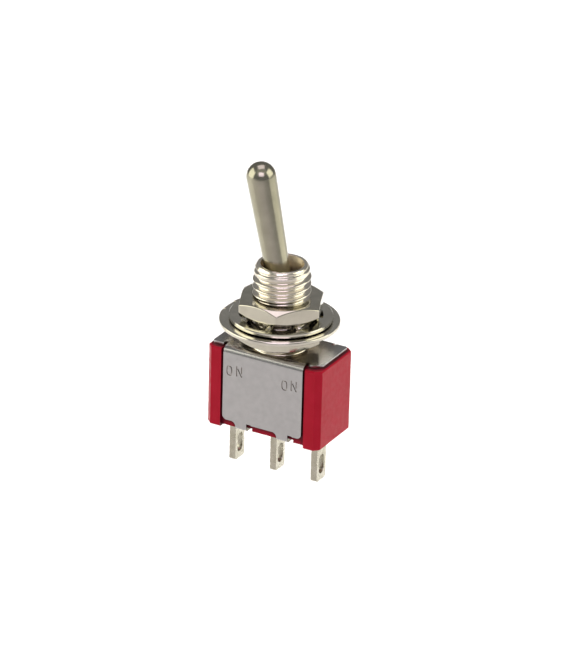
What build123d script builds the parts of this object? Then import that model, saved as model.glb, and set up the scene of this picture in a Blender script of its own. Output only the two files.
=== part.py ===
"""Miniature two-way toggle switch: folded sheet bracket over a moulded case, threaded bushing
with a ball-seated bat lever, spring plunger, rocking contact and three solder terminals.

Frame: +X along the terminal row (the lever swings in the XZ plane), +Z up the bushing.
The origin is on the bushing axis at the top face of the bracket. All sizes in millimetres.
"""
import os
from math import cos, radians, sin, tan

from build123d import *

os.makedirs("parts", exist_ok=True)

# ---- case ------------------------------------------------------------------------------
CASE_LENGTH = 12.9
CASE_WIDTH = 7.0
CASE_DEPTH = 8.65            # underside of the bracket plate to the feet of the end blocks
CORNER_CHAMFER = 0.55        # upright corners of the end blocks
BLOCK_EASE = 0.12            # top and bottom edges of the end blocks
BASE_RELIEF = 0.2            # the middle of the base stands this much above the feet
WALL_END = 1.1
WALL_SIDE = 0.85             # between the flap recess and the contact chamber
FLOOR_TOP_DEPTH = 6.85       # underside of the bracket plate to the chamber floor
SEAL_DEPTH = 0.6             # resin pocket in the base
SEAL_WIDTH = 3.6
SEAL_MARGIN = 0.45           # pocket beyond the outer terminals
SEAL_SET_BACK = 0.05         # resin surface above the middle of the base

# ---- bracket ---------------------------------------------------------------------------
SHEET = 0.35
BEND_RADIUS = 0.8            # outside radius of the two long bends
FLAP_WIDTH = 9.0
FLAP_SIDE_GAP = 0.25         # between the flap's edge and the end block
FLAP_LENGTH = 8.05           # top face to the flap's lower edge
FLAP_CORNER = 0.5
EAR_LENGTH = 12.2            # plate over both end blocks
EAR_WIDTH = 5.7
EAR_CORNER = 0.25
EAR_CUT = 0.8                # diagonal cut on one front corner of the plate
RELIEF_WIDTH = 0.35          # nicks at the ends of the long bends
RELIEF_DEPTH = 0.45
TAB_WIDTH = 1.25
TAB_DROP = 0.8               # flap's lower edge to the underside of the turned-in tab
TAB_REACH = 1.15             # tab measured inwards from the flap's outer face
TAB_FILLET = 0.5
TAB_NICK = 0.5
TAB_NICK_HEIGHT = 0.12
TAB_ROOM = 0.08              # between a tab and its notch in the base

# ---- bushing ---------------------------------------------------------------------------
THREAD_RADIUS = 2.95
THREAD_PITCH_RADIUS = 2.75   # where a nut is screwed on, both parts meet at this radius
BUSHING_HEIGHT = 8.75
RIM_CHAMFER = 0.45
MOUTH_CLEARANCE = 0.15       # leaning lever to the edge of the mouth
THROAT_RADIUS = 1.62
KEYWAY_WIDTH = 0.9
KEYWAY_DEPTH = 0.42
KEYWAY_START = 0.45          # height where the keyway begins
HOLE_CLEARANCE = 0.03        # bushing in the bracket hole
FLANGE_RADIUS = 4.4
FLANGE_WIDTH = 5.2
FLANGE_THICKNESS = 0.8
FLANGE_CLEARANCE = 0.05
SKIRT_WALL = 0.45            # wall of the shank at the bracket

# ---- lever and plunger (along the lever's own axis, from the ball's centre) ---------------
PIVOT_HEIGHT = 5.55          # ball centre above the bracket
SWING = 12.5                 # lever lean to each side of upright, degrees
BALL_RADIUS = 1.9
BALL_CLEARANCE = 0.04
LEVER_LENGTH = 13.65         # ball centre to the end of the bat
TIP_RADIUS = 1.48
NECK_RADIUS = 1.22
STEM_RADIUS = 1.1
STEM_LENGTH = 6.4
SPRING_BORE_RADIUS = 0.75
SPRING_BORE_START = 2.1
STEM_TO_BORE = 0.13          # room beyond the leaning stem, towards each end of its slot
STEM_TO_SLOT = 0.08          # room between the stem and the sides of its slot
PIP_RADIUS = 0.35            # two pips on the ball that keep it from turning in its seat
PIP_HEIGHT = 0.32
PIP_CLEARANCE = 0.04
PLUNGER_REACH = 10.05        # ball centre to the plunger's end
PLUNGER_TIP_RADIUS = 0.7
PLUNGER_HEAD_RADIUS = 1.0
PLUNGER_FIT = 0.05
PLUNGER_STROKE = 0.4
PLUNGER_HEAD_LENGTH = 1.7
PLUNGER_STEM_LENGTH = 2.4
SPRING_WIRE = 0.2
SPRING_TURNS = 4
SPRING_END_GAP = 0.02

# ---- terminals and contacts ------------------------------------------------------------
PITCH = 4.7
BLADE_THICKNESS = 0.7
BLADE_WIDTH = 1.8
BLADE_CLEARANCE = 0.02
TERMINAL_TIP_DEPTH = 13.8    # bracket's top face to the ends of the terminals
TIP_CHAMFER = 0.15
EYELET_WIDTH = 1.0
EYELET_LENGTH = 2.1
EYELET_END = 0.7             # eyelet's lower end to the terminal's tip
ROCKER_SHEET = 0.4
ROCKER_BEND = 0.5            # outside radius of the middle bend, centred on its hinge axis
ROCKER_RISE = 14.0           # slope of each arm above level, degrees
ROCKER_TILT = 8.0            # tilt to each side, degrees
ROCKER_ARM = 4.9
ROCKER_WIDTH = 3.0
ROCKER_WAIST_WIDTH = 1.9
ROCKER_WAIST_LENGTH = 1.1
ROCKER_GAP = 0.15            # plunger to rocker, both upright
CRADLE_CLEARANCE = 0.05
CRADLE_EAR_WIDTH = 0.5
CRADLE_EAR_RISE = 0.5
CRADLE_DROP = 0.5            # top of the fork below the hinge axis
CONTACT_X = 4.1
CONTACT_RADIUS = 0.75
CONTACT_THICKNESS = 0.35
CONTACT_SHANK_RADIUS = 0.4
MOVING_CONTACT_RADIUS = 0.65
MOVING_CONTACT_THICKNESS = 0.22
CONTACT_CLOSED_GAP = 0.05
PAD_THICKNESS = 0.6
PAD_WIDTH = 2.6

# ---- nuts and washers --------------------------------------------------------------------
NUT_FLATS = 8.0
NUT_THICKNESS = 1.62
NUT_CHAMFER = 0.42
NUT_TURN = -7.3              # one corner of the upper nut from +X, degrees
BACKING_NUT_TURN = -4.6
THREAD_CLEARANCE = 0.02
BACKING_NUT_START = 0.76     # height of the backing nut's underside
LOCATING_RADIUS = 6.05
LOCATING_THICKNESS = 0.4
LOCATING_EASE = 0.08
LOCATING_SHIFT = 0.15        # how far the loose washer hangs to its lug side
WASHER_CLEARANCE = 0.22      # washer bores round the thread
KEY_CLEARANCE = 0.06
LUG_WIDTH = 1.8
LUG_LENGTH = 1.1
LUG_NICK = 0.22
LOCK_RADIUS = 5.2
LOCK_ROOT_RADIUS = 4.2
LOCK_THICKNESS = 0.4
LOCK_TEETH = 8
LOCK_TOOTH_WIDTH = 1.0
LOCK_TWIST = 35.0
LOCK_PHASE = 7.0              # one tooth from +X, degrees

# ---- places worked out from the sizes above -----------------------------------------------
CASE_TOP = -SHEET
FEET = CASE_TOP - CASE_DEPTH
BASE = FEET + BASE_RELIEF
FLOOR_TOP = CASE_TOP - FLOOR_TOP_DEPTH
SEAL_TOP = BASE + SEAL_DEPTH
FLAP_FACE = CASE_WIDTH / 2 - SHEET
CHAMBER_LENGTH = CASE_LENGTH - 2 * WALL_END
CHAMBER_WIDTH = 2 * (FLAP_FACE - WALL_SIDE)
SEAL_LENGTH = 2 * (PITCH + BLADE_THICKNESS / 2 + SEAL_MARGIN)
FLAP_EDGE = -FLAP_LENGTH
TAB_UNDERSIDE = FLAP_EDGE - TAB_DROP
TAB_PLACES = (-PITCH / 2, PITCH / 2)
TERMINAL_TIP = -TERMINAL_TIP_DEPTH
FLANGE_BOTTOM = -SHEET - FLANGE_THICKNESS
TIP_CENTRE = PLUNGER_REACH - PLUNGER_TIP_RADIUS
ROCKER_INNER_BEND = ROCKER_BEND - ROCKER_SHEET
ROCKER_AXIS_HEIGHT = (PIVOT_HEIGHT - TIP_CENTRE
                      - (ROCKER_GAP + PLUNGER_TIP_RADIUS - ROCKER_INNER_BEND)
                      / cos(radians(ROCKER_RISE)))
CLOSED_SLOPE = ROCKER_RISE - ROCKER_TILT
CONTACT_UNDER_ARM = (ROCKER_AXIS_HEIGHT + CONTACT_X * tan(radians(CLOSED_SLOPE))
                     - (ROCKER_BEND + MOVING_CONTACT_THICKNESS) / cos(radians(CLOSED_SLOPE))
                     - MOVING_CONTACT_RADIUS * sin(radians(CLOSED_SLOPE)))
CONTACT_TOP = CONTACT_UNDER_ARM - CONTACT_CLOSED_GAP
PAD_TOP = CONTACT_TOP - CONTACT_THICKNESS
BACKING_NUT_TOP = BACKING_NUT_START + NUT_THICKNESS
LOCATING_TOP = BACKING_NUT_TOP + LOCATING_THICKNESS
LOCK_TOOTH_HALF = (LOCK_TOOTH_WIDTH / 2 * sin(radians(LOCK_TWIST))
                   + LOCK_THICKNESS / 2 * cos(radians(LOCK_TWIST)))
LOCK_TOP = LOCATING_TOP + 2 * LOCK_TOOTH_HALF
WASHER_BORE_RADIUS = THREAD_RADIUS + WASHER_CLEARANCE
BAT_TIP_CENTRE = LEVER_LENGTH - TIP_RADIUS
BAT_START = (BALL_RADIUS ** 2 - NECK_RADIUS ** 2) ** 0.5


def block(x0, x1, y0, y1, z0, z1):
    """Box between two opposite corners."""
    centre = Vector((x0 + x1) / 2, (y0 + y1) / 2, (z0 + z1) / 2)
    return Pos(centre) * Box(x1 - x0, y1 - y0, z1 - z0)


def plate(length, width, z0, z1):
    """Box centred on the Z axis."""
    return block(-length / 2, length / 2, -width / 2, width / 2, z0, z1)


def turned(points):
    """Solid of revolution about Z from a closed outline of (radius, height) points."""
    outline = make_face(Polyline(*[(r, 0, z) for r, z in points], close=True))
    return revolve(outline, Axis.Z)


def outline_y(points, width, y_centre=0.0):
    """Plate from an XZ outline, with its thickness along Y."""
    face = make_face(Polyline(*[(x, y_centre, z) for x, z in points], close=True))
    return extrude(face, amount=width / 2, dir=(0, 1, 0), both=True)


def outline_x(points, thickness, x_centre=0.0):
    """Plate from a YZ outline, with its thickness along X."""
    face = make_face(Polyline(*[(x_centre, y, z) for y, z in points], close=True))
    return extrude(face, amount=thickness / 2, dir=(1, 0, 0), both=True)


def at_rest_lean(shape):
    """Takes a shape made upright about the origin to the lever's rest place."""
    return Pos(0, 0, PIVOT_HEIGHT) * Rot(0, -SWING, 0) * shape


def at_rocker_rest(shape):
    """Takes a shape made level about the rocker's hinge axis to its rest place."""
    return Pos(0, 0, ROCKER_AXIS_HEIGHT) * Rot(0, ROCKER_TILT, 0) * shape


# ---- case --------------------------------------------------------------------------------
def blade_slots(depth_from, depth_to):
    """The three blades with their clearance, as one cutter."""
    thickness = BLADE_THICKNESS + 2 * BLADE_CLEARANCE
    width = BLADE_WIDTH + 2 * BLADE_CLEARANCE
    slot = plate(thickness, width, depth_from, depth_to)
    return [Pos(x, 0, 0) * slot for x in (-PITCH, 0, PITCH)]


def tab_notch(x, side):
    """Room in the base for one turned-in tab."""
    inner = CASE_WIDTH / 2 - TAB_REACH - TAB_ROOM
    y0, y1 = sorted((side * inner, side * CASE_WIDTH / 2))
    left = x - TAB_WIDTH / 2 - TAB_ROOM
    right = x + TAB_WIDTH / 2 + TAB_NICK
    return block(left, right, y0, y1, FEET, TAB_UNDERSIDE + SHEET)


def make_case():
    body = plate(CASE_LENGTH, CASE_WIDTH, FEET, CASE_TOP)
    body = chamfer(body.edges().filter_by(Axis.Z), CORNER_CHAMFER)
    body = chamfer(body.edges().filter_by(Axis.Z, reverse=True), BLOCK_EASE)
    recess_length = FLAP_WIDTH + 2 * FLAP_SIDE_GAP
    for side in (-1, 1):
        y0, y1 = sorted((side * FLAP_FACE, side * CASE_WIDTH))
        body -= block(-recess_length / 2, recess_length / 2, y0, y1, FEET - 1, CASE_TOP + 1)
    body -= plate(recess_length, CASE_WIDTH, FEET - 1, BASE)
    bend_edges = body.edges().filter_by(Axis.X).group_by(Axis.Z)[-1]
    inner_edges = [e for e in bend_edges if abs(abs(e.center().Y) - FLAP_FACE) < 0.01]
    body = fillet(inner_edges, BEND_RADIUS - SHEET)
    body -= plate(CHAMBER_LENGTH, CHAMBER_WIDTH, FLOOR_TOP, CASE_TOP + 1)
    body -= flange_blank(FLANGE_CLEARANCE, FLANGE_BOTTOM, CASE_TOP + 1)
    seal = plate(SEAL_LENGTH, SEAL_WIDTH, FEET - 1, SEAL_TOP)
    body -= fillet(seal.edges().filter_by(Axis.Z), 0.5)
    body -= blade_slots(FEET, FLOOR_TOP + 1)
    for x in TAB_PLACES:
        for side in (-1, 1):
            body -= tab_notch(x, side)
    return body


def make_terminal_seal():
    length = SEAL_LENGTH - 2 * BLADE_CLEARANCE
    width = SEAL_WIDTH - 2 * BLADE_CLEARANCE
    resin = plate(length, width, BASE + SEAL_SET_BACK, SEAL_TOP)
    resin = fillet(resin.edges().filter_by(Axis.Z), 0.48)
    return resin - blade_slots(FEET, SEAL_TOP + 1)


# ---- bracket -----------------------------------------------------------------------------
def flap_outline():
    """Front view of one flap below its bend, with two tabs, a fillet and a nick at each."""
    flap = Rectangle(FLAP_WIDTH, FLAP_LENGTH - BEND_RADIUS, align=(Align.CENTER, Align.MIN))
    flap = Pos(0, FLAP_EDGE) * flap
    flap = fillet(flap.vertices().group_by(Axis.Y)[0], FLAP_CORNER)
    for x in TAB_PLACES:
        left = x - TAB_WIDTH / 2
        right = x + TAB_WIDTH / 2
        web = Pos(left - TAB_FILLET, FLAP_EDGE - TAB_FILLET) * Rectangle(
            TAB_FILLET + TAB_WIDTH, TAB_FILLET, align=(Align.MIN, Align.MIN))
        web -= Pos(left - TAB_FILLET, FLAP_EDGE - TAB_FILLET) * Circle(TAB_FILLET)
        flap += web
        flap -= Pos(right, FLAP_EDGE) * Rectangle(
            TAB_NICK, TAB_NICK_HEIGHT, align=(Align.MIN, Align.CENTER))
    return flap


def make_flap(side):
    """One flap with its tabs turned in under the base."""
    sheet_face = Plane(origin=(0, side * CASE_WIDTH / 2, 0), x_dir=(1, 0, 0), z_dir=(0, -1, 0))
    flap = extrude(sheet_face * flap_outline(), amount=side * SHEET)
    y_out = side * CASE_WIDTH / 2
    y_in = side * (CASE_WIDTH / 2 - TAB_REACH)
    y0, y1 = sorted((y_out, y_in))
    for x in TAB_PLACES:
        tab = block(x - TAB_WIDTH / 2, x + TAB_WIDTH / 2, y0, y1,
                    TAB_UNDERSIDE, TAB_UNDERSIDE + SHEET)
        flap += tab
    turn_edges = [e for e in flap.edges().filter_by(Axis.X)
                  if abs(e.center().Z - TAB_UNDERSIDE) < 0.01 and abs(e.center().Y - y_out) < 0.01]
    return fillet(turn_edges, SHEET)


def bend_shell():
    """The two long bends and the plate between them, as a shell of even thickness."""
    depth = BEND_RADIUS
    outer = plate(FLAP_WIDTH, CASE_WIDTH, -depth, 0)
    outer = fillet(outer.edges().filter_by(Axis.X).group_by(Axis.Z)[-1], BEND_RADIUS - 0.001)
    inner = plate(FLAP_WIDTH + 1, 2 * FLAP_FACE, -depth - 1, -SHEET)
    inner = fillet(inner.edges().filter_by(Axis.X).group_by(Axis.Z)[-1], BEND_RADIUS - SHEET)
    return outer - inner


def ear_plate():
    """Flat plate that reaches over both end blocks, one corner cut, nicks at the bends."""
    half_length = EAR_LENGTH / 2
    half_width = EAR_WIDTH / 2
    blank = plate(EAR_LENGTH, EAR_WIDTH, -SHEET, 0)
    corners = blank.edges().filter_by(Axis.Z)
    cut_corner = corners.sort_by_distance((half_length, -half_width, 0))[0]
    blank = chamfer(cut_corner, EAR_CUT)
    plain = [e for e in blank.edges().filter_by(Axis.Z)
             if abs(abs(e.center().X) - half_length) < 0.01
             and abs(abs(e.center().Y) - half_width) < 0.01]
    blank = fillet(plain, EAR_CORNER)
    for sx in (-1, 1):
        for sy in (-1, 1):
            x0, x1 = sorted((sx * FLAP_WIDTH / 2, sx * (FLAP_WIDTH / 2 + RELIEF_WIDTH)))
            y0, y1 = sorted((sy * (half_width - RELIEF_DEPTH), sy * (half_width + 1)))
            blank -= block(x0, x1, y0, y1, -SHEET - 1, 1)
    return blank


def make_frame_bracket():
    bracket = bend_shell() + ear_plate() + make_flap(-1) + make_flap(1)
    hole = Cylinder(THREAD_RADIUS + HOLE_CLEARANCE, 4)
    return bracket - hole


# ---- bushing -----------------------------------------------------------------------------
def flange_blank(room, z0, z1):
    """Round flange with two flats, grown by the given room."""
    disc = Pos(0, 0, (z0 + z1) / 2) * Cylinder(FLANGE_RADIUS + room, z1 - z0)
    return disc & plate(3 * FLANGE_RADIUS, FLANGE_WIDTH + 2 * room, z0, z1)


def bore_reach(z):
    """How far from the axis the slot for the leaning stem reaches at a height below the ball."""
    reach = (PIVOT_HEIGHT - z) * tan(radians(SWING))
    return reach + STEM_RADIUS / cos(radians(SWING)) + STEM_TO_BORE


def mouth_radius():
    """Radius at the rim that lets the lever lean by its full swing."""
    height = BUSHING_HEIGHT - PIVOT_HEIGHT
    lean = radians(SWING)
    return height * tan(lean) + bat_radius(height / cos(lean)) / cos(lean) + MOUTH_CLEARANCE


def make_bushing():
    seat = BALL_RADIUS + BALL_CLEARANCE
    mouth = mouth_radius()
    throat_z = PIVOT_HEIGHT + (seat ** 2 - THROAT_RADIUS ** 2) ** 0.5
    slot_top = PIVOT_HEIGHT - (seat - STEM_RADIUS / cos(radians(SWING)) - STEM_TO_BORE) \
        / tan(radians(SWING))
    outside = [(0, -SHEET), (THREAD_RADIUS, -SHEET)]
    for start in (BACKING_NUT_START, LOCK_TOP):
        outside += [(THREAD_RADIUS, start), (THREAD_PITCH_RADIUS, start),
                    (THREAD_PITCH_RADIUS, start + NUT_THICKNESS),
                    (THREAD_RADIUS, start + NUT_THICKNESS)]
    outside += [(THREAD_RADIUS, BUSHING_HEIGHT - RIM_CHAMFER),
                (THREAD_RADIUS - RIM_CHAMFER, BUSHING_HEIGHT), (0, BUSHING_HEIGHT)]
    body = turned(outside)
    body += flange_blank(0, FLANGE_BOTTOM, -SHEET)
    body -= turned([
        (0, throat_z - 0.2), (THROAT_RADIUS, throat_z - 0.2), (THROAT_RADIUS, throat_z),
        (mouth, BUSHING_HEIGHT), (mouth, BUSHING_HEIGHT + 1), (0, BUSHING_HEIGHT + 1)])
    body -= Pos(0, 0, PIVOT_HEIGHT) * Sphere(seat)
    body -= turned([(0, slot_top), (seat, slot_top), (seat, PIVOT_HEIGHT), (0, PIVOT_HEIGHT)])
    low = FLANGE_BOTTOM - 1
    fan = [(-bore_reach(low), low), (bore_reach(low), low), (seat, slot_top), (-seat, slot_top)]
    body -= outline_y(fan, 2 * (STEM_RADIUS + STEM_TO_SLOT))
    pip_slot = 2 * (BALL_RADIUS + PIP_HEIGHT + PIP_CLEARANCE)
    groove = 2 * (PIP_RADIUS + PIP_CLEARANCE)
    body -= plate(groove, pip_slot, low, PIVOT_HEIGHT)
    body -= Pos(0, 0, PIVOT_HEIGHT) * Rot(90, 0, 0) * Cylinder(groove / 2, pip_slot)
    body -= block(-THREAD_RADIUS - 1, -THREAD_RADIUS + KEYWAY_DEPTH,
                  -KEYWAY_WIDTH / 2, KEYWAY_WIDTH / 2, KEYWAY_START, BUSHING_HEIGHT + 1)
    return body


# ---- lever, plunger, spring ----------------------------------------------------------------
def bat_radius(along):
    """Radius of the tapered bat at a distance from the ball's centre."""
    share = (along - BAT_START) / (BAT_TIP_CENTRE - BAT_START)
    return NECK_RADIUS + (TIP_RADIUS - NECK_RADIUS) * share


def make_toggle_lever():
    bat = turned([(0, 0), (NECK_RADIUS, 0), (NECK_RADIUS, BAT_START),
                  (TIP_RADIUS, BAT_TIP_CENTRE), (0, BAT_TIP_CENTRE)])
    bat += Pos(0, 0, BAT_TIP_CENTRE) * Sphere(TIP_RADIUS)
    bat += Sphere(BALL_RADIUS)
    bat += Rot(90, 0, 0) * Cylinder(PIP_RADIUS, 2 * (BALL_RADIUS + PIP_HEIGHT))
    stem = Pos(0, 0, -STEM_LENGTH) * Cylinder(
        STEM_RADIUS, STEM_LENGTH, align=(Align.CENTER, Align.CENTER, Align.MIN))
    stem = chamfer(stem.edges().group_by(Axis.Z)[0], 0.12)
    bore = Pos(0, 0, -STEM_LENGTH - 1) * Cylinder(
        SPRING_BORE_RADIUS, STEM_LENGTH + 1 - SPRING_BORE_START,
        align=(Align.CENTER, Align.CENTER, Align.MIN))
    return at_rest_lean(bat + stem - bore)


def make_plunger():
    shoulder = -STEM_LENGTH - PLUNGER_STROKE - PLUNGER_FIT
    head_end = shoulder - PLUNGER_HEAD_LENGTH
    stem_top = shoulder + PLUNGER_STEM_LENGTH
    stem_radius = SPRING_BORE_RADIUS - PLUNGER_FIT
    pin = turned([(0, stem_top), (stem_radius, stem_top), (stem_radius, shoulder),
                  (PLUNGER_HEAD_RADIUS, shoulder), (PLUNGER_HEAD_RADIUS, head_end),
                  (PLUNGER_TIP_RADIUS, -TIP_CENTRE), (0, -TIP_CENTRE)])
    return at_rest_lean(pin + Pos(0, 0, -TIP_CENTRE) * Sphere(PLUNGER_TIP_RADIUS))


def make_plunger_spring():
    bottom = -STEM_LENGTH - PLUNGER_STROKE - PLUNGER_FIT + PLUNGER_STEM_LENGTH
    height = -SPRING_BORE_START - bottom - 2 * SPRING_END_GAP - SPRING_WIRE
    radius = SPRING_BORE_RADIUS - PLUNGER_FIT - SPRING_WIRE / 2
    path = Helix(pitch=height / SPRING_TURNS, height=height, radius=radius)
    wire = Plane(origin=path @ 0, z_dir=path % 0) * RegularPolygon(SPRING_WIRE / 2, 5)
    coil = sweep(wire, path=path, is_frenet=True)
    return at_rest_lean(Pos(0, 0, bottom + SPRING_END_GAP + SPRING_WIRE / 2) * coil)


# ---- rocker and contacts -------------------------------------------------------------------
def arm_point(side, along, below):
    """Point on one level-drawn rocker arm, from the hinge axis, along and below the arm."""
    slope = radians(ROCKER_RISE)
    x = along * cos(slope) + below * sin(slope)
    z = along * sin(slope) - below * cos(slope)
    return side * x, z


def make_rocker_contact():
    arms = [arm_point(1, 0, ROCKER_INNER_BEND), arm_point(1, ROCKER_ARM, ROCKER_INNER_BEND),
            arm_point(1, ROCKER_ARM, ROCKER_BEND), arm_point(1, 0, ROCKER_BEND),
            (0, -ROCKER_BEND), arm_point(-1, 0, ROCKER_BEND),
            arm_point(-1, ROCKER_ARM, ROCKER_BEND), arm_point(-1, ROCKER_ARM, ROCKER_INNER_BEND),
            arm_point(-1, 0, ROCKER_INNER_BEND), (0, -ROCKER_INNER_BEND)]
    strip = outline_y(arms, ROCKER_WIDTH)
    roll = Rot(90, 0, 0) * Cylinder(ROCKER_BEND, ROCKER_WIDTH)
    roll &= block(-1, 1, -ROCKER_WIDTH, ROCKER_WIDTH, -ROCKER_BEND, -ROCKER_INNER_BEND)
    strip += roll
    for side in (-1, 1):
        y0, y1 = sorted((side * ROCKER_WAIST_WIDTH / 2, side * ROCKER_WIDTH))
        strip -= block(-ROCKER_WAIST_LENGTH / 2, ROCKER_WAIST_LENGTH / 2, y0, y1, -2, 2)
    for side in (-1, 1):
        strip -= moving_contact_blank(side, CONTACT_SHANK_RADIUS, ROCKER_INNER_BEND - 0.5,
                                      ROCKER_BEND + 0.5)
    return at_rocker_rest(strip)


def moving_contact_blank(side, radius, below_from, below_to):
    """Cylinder square to one arm, at the contact place, between two depths below the arm."""
    along = (CONTACT_X + ROCKER_BEND * sin(radians(ROCKER_RISE))) / cos(radians(CLOSED_SLOPE))
    middle = (below_from + below_to) / 2
    x, z = arm_point(side, along - ROCKER_BEND * tan(radians(CLOSED_SLOPE)), middle)
    return Pos(x, 0, z) * Rot(0, -side * ROCKER_RISE, 0) * Cylinder(radius, below_to - below_from)


def make_moving_contact(side):
    rivet = moving_contact_blank(side, CONTACT_SHANK_RADIUS, ROCKER_INNER_BEND, ROCKER_BEND)
    rivet += moving_contact_blank(side, MOVING_CONTACT_RADIUS, ROCKER_BEND,
                                  ROCKER_BEND + MOVING_CONTACT_THICKNESS)
    return at_rocker_rest(rivet)


def make_fixed_contact(side):
    ease = CONTACT_THICKNESS / 3
    foot = PAD_TOP - PAD_THICKNESS
    rivet = turned([
        (0, foot), (CONTACT_SHANK_RADIUS, foot), (CONTACT_SHANK_RADIUS, PAD_TOP),
        (CONTACT_RADIUS, PAD_TOP), (CONTACT_RADIUS, CONTACT_TOP - ease),
        (CONTACT_RADIUS - ease, CONTACT_TOP), (0, CONTACT_TOP)])
    return Pos(side * CONTACT_X, 0, 0) * rivet


# ---- terminals -----------------------------------------------------------------------------
def blade(top):
    """Solder blade up to a given height, with a chamfered tip and an oblong eyelet."""
    half = BLADE_WIDTH / 2
    body = outline_x([
        (-half, top), (half, top), (half, TERMINAL_TIP + TIP_CHAMFER),
        (half - TIP_CHAMFER, TERMINAL_TIP), (-half + TIP_CHAMFER, TERMINAL_TIP),
        (-half, TERMINAL_TIP + TIP_CHAMFER)], BLADE_THICKNESS)
    eyelet = Plane.YZ * Pos(0, TERMINAL_TIP + EYELET_END + EYELET_LENGTH / 2) * SlotOverall(
        EYELET_LENGTH, EYELET_WIDTH, rotation=90)
    return body - extrude(eyelet, amount=BLADE_THICKNESS, both=True)


def make_end_terminal(side):
    body = blade(PAD_TOP)
    y = PAD_WIDTH / 2
    inner = CONTACT_X - PITCH - CONTACT_RADIUS - 0.1
    pad = block(inner, BLADE_THICKNESS / 2, -y, y, PAD_TOP - PAD_THICKNESS, PAD_TOP)
    pad = fillet(pad.edges().filter_by(Axis.Z).group_by(Axis.X)[0], 0.6)
    body += pad
    hole = Pos(CONTACT_X - PITCH, 0, PAD_TOP) * Cylinder(CONTACT_SHANK_RADIUS, 4 * PAD_THICKNESS)
    body -= hole
    if side < 0:
        body = Rot(0, 0, 180) * body
    return Pos(side * PITCH, 0, 0) * body


def make_common_terminal():
    groove = ROCKER_BEND + CRADLE_CLEARANCE
    head_top = ROCKER_AXIS_HEIGHT - CRADLE_DROP
    inner = ROCKER_WAIST_WIDTH / 2 + CRADLE_CLEARANCE
    outer = inner + CRADLE_EAR_WIDTH
    ear_top = ROCKER_AXIS_HEIGHT + CRADLE_EAR_RISE
    body = blade(FLOOR_TOP + 0.1)
    head = outline_x([
        (-outer, FLOOR_TOP), (outer, FLOOR_TOP), (outer, ear_top), (inner, ear_top),
        (inner, head_top), (-inner, head_top), (-inner, ear_top), (-outer, ear_top)],
        BLADE_THICKNESS)
    body += head
    body -= Pos(0, 0, ROCKER_AXIS_HEIGHT) * Rot(90, 0, 0) * Cylinder(groove, 2 * inner)
    return body


# ---- nuts and washers ------------------------------------------------------------------------
def make_nut(start, turn):
    """Hexagon nut with both faces chamfered to the flats' circle."""
    corner = NUT_FLATS / 2 / cos(radians(30))
    top = start + NUT_THICKNESS
    hexagon = Pos(0, 0, start) * extrude(RegularPolygon(corner, 6, rotation=turn),
                                         amount=NUT_THICKNESS)
    inset = NUT_FLATS / 2 - 0.1
    hexagon &= turned([(0, start), (inset, start), (corner, start + NUT_CHAMFER),
                       (corner, top - NUT_CHAMFER), (inset, top), (0, top)])
    return hexagon - Pos(0, 0, start) * Cylinder(THREAD_PITCH_RADIUS + THREAD_CLEARANCE,
                                                 4 * NUT_THICKNESS)


def make_locating_washer():
    z0 = BACKING_NUT_TOP
    lug_outer = -LOCATING_RADIUS
    lug_inner = lug_outer + LOCATING_THICKNESS
    inset = LOCATING_RADIUS - LOCATING_EASE
    disc = turned([
        (WASHER_BORE_RADIUS, z0), (LOCATING_RADIUS, z0),
        (LOCATING_RADIUS, LOCATING_TOP - LOCATING_EASE), (inset, LOCATING_TOP),
        (WASHER_BORE_RADIUS, LOCATING_TOP)])
    key_tip = -THREAD_RADIUS + KEYWAY_DEPTH - KEY_CLEARANCE
    key_half = KEYWAY_WIDTH / 2 - KEY_CLEARANCE
    disc += block(-WASHER_BORE_RADIUS - 0.2, key_tip, -key_half, key_half, z0, LOCATING_TOP)
    lug_half = LUG_WIDTH / 2
    for side in (-1, 1):
        y0, y1 = sorted((side * lug_half, side * (lug_half + LUG_NICK)))
        disc -= block(lug_outer - 1, lug_inner, y0, y1, z0 - 1, LOCATING_TOP + 1)
    lug = block(lug_outer, lug_inner + 0.2, -lug_half, lug_half, z0 - LUG_LENGTH, LOCATING_TOP)
    lug -= block(lug_inner, 0, -LUG_WIDTH, LUG_WIDTH, z0 - 2 * LUG_LENGTH, z0)
    disc -= block(lug_outer - 1, lug_inner, -lug_half, lug_half, z0 - 1, LOCATING_TOP + 1)
    bend = lug.edges().filter_by(Axis.Y).sort_by_distance((lug_outer, 0, LOCATING_TOP))[0]
    washer = disc + fillet(bend, LOCATING_THICKNESS * 0.8)
    return Pos(-LOCATING_SHIFT, 0, 0) * washer


def make_lock_washer():
    z0 = LOCATING_TOP
    middle = z0 + LOCK_TOOTH_HALF
    low = middle - LOCK_THICKNESS / 2
    high = middle + LOCK_THICKNESS / 2
    washer = turned([(LOCK_ROOT_RADIUS, low), (LOCK_RADIUS, low),
                     (LOCK_RADIUS, high), (LOCK_ROOT_RADIUS, high)])
    for index in range(LOCK_TEETH):
        tooth = block(WASHER_BORE_RADIUS - 0.5, LOCK_ROOT_RADIUS + 0.15, -LOCK_TOOTH_WIDTH / 2,
                      LOCK_TOOTH_WIDTH / 2, -LOCK_THICKNESS / 2, LOCK_THICKNESS / 2)
        turn = LOCK_PHASE + index * 360 / LOCK_TEETH
        washer += Pos(0, 0, middle) * Rot(0, 0, turn) * Rot(LOCK_TWIST, 0, 0) * tooth
    return washer - Pos(0, 0, z0) * Cylinder(WASHER_BORE_RADIUS, 6 * LOCK_THICKNESS)


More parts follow.
